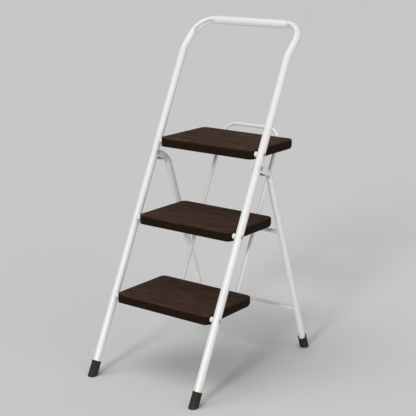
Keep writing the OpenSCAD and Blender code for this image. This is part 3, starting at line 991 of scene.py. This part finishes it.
def hook_shapes():
    """Latch hooks, open downwards, that drop over the middle crossbar."""
    low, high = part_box("crossbar_middle")
    bar = in_front((low + high) / 2)
    inner, wall, lip, width = (high.z - low.z) / 2 + 0.6 * MM, 3.5 * MM, 4 * MM, 12 * MM
    outer, front_in = inner + wall, inner + 2 * MM
    to_bar = bar.y - LINK_Y - LINK_R + 0.5 * MM
    outline = [(inner, -lip + 0.8 * MM), (inner + 1 * MM, -lip)]
    outline += [(outer - 1 * MM, -lip), (outer, -lip + 0.8 * MM)]
    outline += arc((0, 0), outer, 0, 90, 12) + [(-to_bar, outer), (-to_bar, -lip)]
    outline += [(-front_in - 0.6 * MM, -lip), (-front_in, -lip + 0.8 * MM), (-front_in, -1.2 * MM)]
    outline += arc((0, 0), inner, 175, 0, 20)
    hook = slab(outline, width)
    return both_sides([moved(hook, Matrix.Translation((LINK_X, bar.y, bar.z)))])


link_nodes = ["link_bar_left", "link_bar_right", "pull_loop"]
piece("link_tube", link_tube(), FRONT, PAINT, link_nodes)
piece("link_plugs", link_plugs(), FRONT, RUBBER, ["link_bar_plugs"])
piece("link_bar_rivets", link_rivets(), FRONT, ZINC, ["link_rivets"])
piece("hooks", hook_shapes(), FRONT, PAINT, ["latch_hooks"], bevel=0.8 * MM)


# ---- rear frame

FORK_BEND_R = 45 * MM
REAR_DENT = 4.5 * MM
FORK_T = 1.8 * MM
FORK_IN = LEG_R + 0.6 * MM
FORK_SIDE = 12.5 * MM
FORK_EYE_R = 14 * MM
FORK_WEB_FROM = 17 * MM
pivot_at = in_rear(REAR_PIVOT)
FORK_LEN = -pivot_at.y / math.sin(FORK_ANGLE) - FORK_BEND_R * math.tan(FORK_ANGLE / 2)


def rear_leg():
    """A rear leg on the right: straight, bent forward near its top, and pushed into its fork."""
    corner = Vector((LEG_X, 0, pivot_at.z + pivot_at.y / math.tan(FORK_ANGLE)))
    start = Vector((LEG_X, 0, LEG_START))
    reach = FORK_BEND_R * math.tan(FORK_ANGLE / 2)
    end = corner + Vector((0, -math.sin(FORK_ANGLE), math.cos(FORK_ANGLE))) * (reach + 9 * MM)
    line = spaced(start, corner - Z * (reach + 1 * MM), 30 * MM) + [corner, end]
    path = fillet(line, [0] * (len(line) - 2) + [FORK_BEND_R, 0], turn=2)
    shape = tube(path, REAR_R, REAR_R - TUBE_WALL, sides=96)
    return press_bend(shape, bend_at(start, corner, end, FORK_BEND_R), FORK_BEND_R, REAR_R, REAR_DENT)


def fork_section(half_w, back, front, corner):
    """Half of a rounded box, in X and Y: from the middle of its rear side, along the cheek, to the front."""
    box = [Vector((x, y, 0)) for x, y in ((0, back), (half_w, back), (half_w, -front), (0, -front))]
    return fillet(box, [0, corner, corner, 0], turn=6)


def at_length(line, length):
    """The place a length along a line."""
    for a, b in zip(line, line[1:]):
        step = (b - a).length
        if length <= step:
            return a.lerp(b, length / step if step else 0)
        length -= step
    return line[-1].copy()


def line_length(line):
    return sum((b - a).length for a, b in zip(line, line[1:]))


def fork_sheet():
    """The pressed fork, as the middle surface of its sheet: closed around the tube's end, opening into
    a channel whose cheeks run past the front leg."""
    half_t = FORK_T / 2
    round_r = REAR_R + half_t + 0.05 * MM
    wide, back, reach_front = FORK_IN + half_t, FORK_SIDE - half_t, FORK_SIDE + 5 * MM
    rows, cheek_columns, web_columns = 26, 16, 6
    grid = []
    for i in range(rows + 1):
        share = i / rows
        open_up = ease((share - 0.12) / 0.50)
        spread = ease((share - 0.10) / 0.55)
        half_w = round_r + (wide - round_r) * spread
        rear = round_r + (back - round_r) * spread
        front = round_r + (reach_front - round_r) * spread
        corner = (round_r - 0.05 * MM) * (1 - spread) + 4.5 * MM * spread
        line = fork_section(half_w, rear, front, corner)
        closed = line_length(line) - 0.25 * MM
        cheek_end = half_w + rear - corner * (2 - math.pi / 2) + FORK_SIDE
        reach = closed + (min(cheek_end, closed) - closed) * open_up
        web_end = max(half_w - corner, 1 * MM)
        marks = [web_end * k / web_columns for k in range(web_columns)]
        marks += [web_end + (reach - web_end) * k / cheek_columns for k in range(cheek_columns + 1)]
        z = -FORK_LEN + (FORK_LEN - FORK_WEB_FROM) * share
        grid.append([at_length(line, mark) + Z * z for mark in marks])
    channel = skin([flipped(row[:0:-1]) + row for row in grid], around=False)
    ear = fork_ear(grid[-1][web_columns:], wide)
    return [channel, ear, mirrored(ear)]


def fork_ear(cheek_end, wide):
    """A cheek's flat end around the pivot, from the channel's last points to the round of the eye."""
    rows, columns = 14, len(cheek_end) - 1
    ear = [cheek_end]
    for i in range(1, rows + 1):
        share = i / rows
        flatten = ease(share / 0.45)
        row = []
        for k, p in enumerate(cheek_end):
            flat_y = FORK_SIDE - 2 * FORK_SIDE * k / columns
            top = math.sqrt(FORK_EYE_R**2 - flat_y**2)
            z = -FORK_WEB_FROM + (top + FORK_WEB_FROM) * share
            row.append(Vector((p.x + (wide - p.x) * flatten, p.y + (flat_y - p.y) * flatten, z)))
        ear.append(row)
    return skin(ear, around=False)


def weld_bead(bar_r, back, leg_r):
    """The weld where a crossbar meets a leg, as a thin rippled ring about the bar's end."""
    count, sides = 64, 10
    line = []
    for k in range(count):
        turn = 2 * math.pi * k / count
        y, z = bar_r * math.cos(turn), bar_r * math.sin(turn)
        line.append(Vector((LEG_X - math.sqrt((leg_r + 0.4 * MM) ** 2 - (y + back) ** 2), y, z)))
    rings = []
    for k, p in enumerate(line):
        out = Vector((0, p.y, p.z)).normalized()
        along = (line[(k + 1) % count] - line[k - 1]).normalized()
        across = along.cross(out).normalized()
        size = (1.5 + 0.22 * math.sin(k * 2 * math.pi * 16 / count)) * MM
        rings.append(circle_at(p, out, across, size, sides))
    return skin(rings, along=True)


def crossbar_shapes(node):
    """A crossbar from leg to leg, its ends cut to the legs' round, with a weld at each."""
    low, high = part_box(node)
    middle = in_rear((low + high) / 2)
    bar_r = (high.z - low.z) / 2
    around = circle_at(Vector(), Y, Z, bar_r, 40)
    ends = []
    for p in around:
        reach = LEG_X - math.sqrt(REAR_R**2 - (p.y + middle.y) ** 2)
        ends.append(Vector((reach, p.y, p.z)))
    rings = [flipped(ends)]
    steps = 12
    for k in range(1, steps):
        x = (2 * k / steps - 1) * (LEG_X - REAR_R)
        rings.append([Vector((x, p.y, p.z)) for p in around])
    rings.append(ends)
    shapes = [skin(rings, caps=True)] + both_sides([weld_bead(bar_r, middle.y, REAR_R)])
    return [moved(shape, Matrix.Translation(middle)) for shape in shapes]


for side in ("left", "right"):
    leg, fork = rear_leg(), [moved(shape, Matrix.Translation((LEG_X, 0, 0))) for shape in fork_sheet()]
    if side == "left":
        leg, fork = mirrored(leg), [mirrored(shape) for shape in fork]
    piece(f"rear_tube_{side}", [leg], REAR, PAINT, [f"rear_leg_{side}"])
    made = piece(f"fork_{side}", fork, FORK, PAINT, [f"rear_fork_{side}"], sharp=60)
    sheet_metal(made, FORK_T, 0, 0.5 * MM)
for node in ("crossbar_low", "crossbar_middle"):
    piece(f"{node}_tube", crossbar_shapes(node), REAR, PAINT, [node])


# ---- stage, light and camera


def stage_floor():
    mesh = bpy.data.meshes.new("floor")
    half = 40
    corners = [(-half, -half, 0), (half, -half, 0), (half, half, 0), (-half, half, 0)]
    mesh.from_pydata(corners, [], [(0, 1, 2, 3)])
    floor = bpy.data.objects.new("floor", mesh)
    bpy.context.scene.collection.objects.link(floor)
    s = Shader("floor_paper")
    tone = s.mix(s.grain(3, 3), (0.712, 0.712, 0.708), (0.726, 0.725, 0.720))
    fine = s.bump(s.grain(300, 3), 0.1 * MM, 0.3)
    floor.data.materials.append(s.finish(tone, s.span(s.grain(5), 0, 1, 0.8, 0.9), fine))


def soft_light(name, azimuth, elevation, spread, strength):
    """A large soft light, far away. Azimuth 0 is straight in front of the ladder, and goes towards +X."""
    light = bpy.data.lights.new(name, "SUN")
    light.angle = math.radians(spread)
    light.energy = strength
    made = bpy.data.objects.new(name, light)
    about = Matrix.Rotation(math.radians(azimuth), 4, "Z")
    lean = Matrix.Rotation(math.radians(90 - elevation), 4, "X")
    made.matrix_world = Matrix.Translation((0, 0, 4)) @ about @ lean
    bpy.context.scene.collection.objects.link(made)


def studio():
    world = bpy.data.worlds.new("studio")
    world.use_nodes = True
    sky = world.node_tree.nodes["Background"].inputs
    sky["Color"].default_value = (0.99, 0.99, 1, 1)
    sky["Strength"].default_value = 0.30
    bpy.context.scene.world = world
    bpy.context.scene.view_settings.view_transform = "Standard"
    soft_light("overhead", -40, 72, 44, 0.30 * math.pi)
    soft_light("front", 11, 23, 11, 0.39 * math.pi)
    soft_light("side", 80, 14, 60, 0.24 * math.pi)


def camera():
    """The camera, placed by its angles and distance from a target on the ladder's middle plane, then
    moved a little to the right and up."""
    azimuth, elevation = math.radians(36.95), math.radians(14.59)
    distance, right_by, up_by = 3.5736, 0.0599, 0.0424
    target = Vector((0, -0.0651, 0.5))
    right = Vector((math.cos(azimuth), math.sin(azimuth), 0))
    level_ahead = Vector((-math.sin(azimuth), math.cos(azimuth), 0))
    ahead = level_ahead * math.cos(elevation) - Vector((0, 0, math.sin(elevation)))
    up = right.cross(ahead)
    lens = bpy.data.cameras.new("camera")
    lens.lens = 96.4
    lens.sensor_width = 36
    made = bpy.data.objects.new("camera", lens)
    place = Matrix.Translation(target - ahead * distance + right * right_by + up * up_by)
    made.matrix_world = place @ Matrix((right, up, -ahead)).transposed().to_4x4()
    bpy.context.scene.collection.objects.link(made)
    bpy.context.scene.camera = made


stage_floor()
studio()
camera()
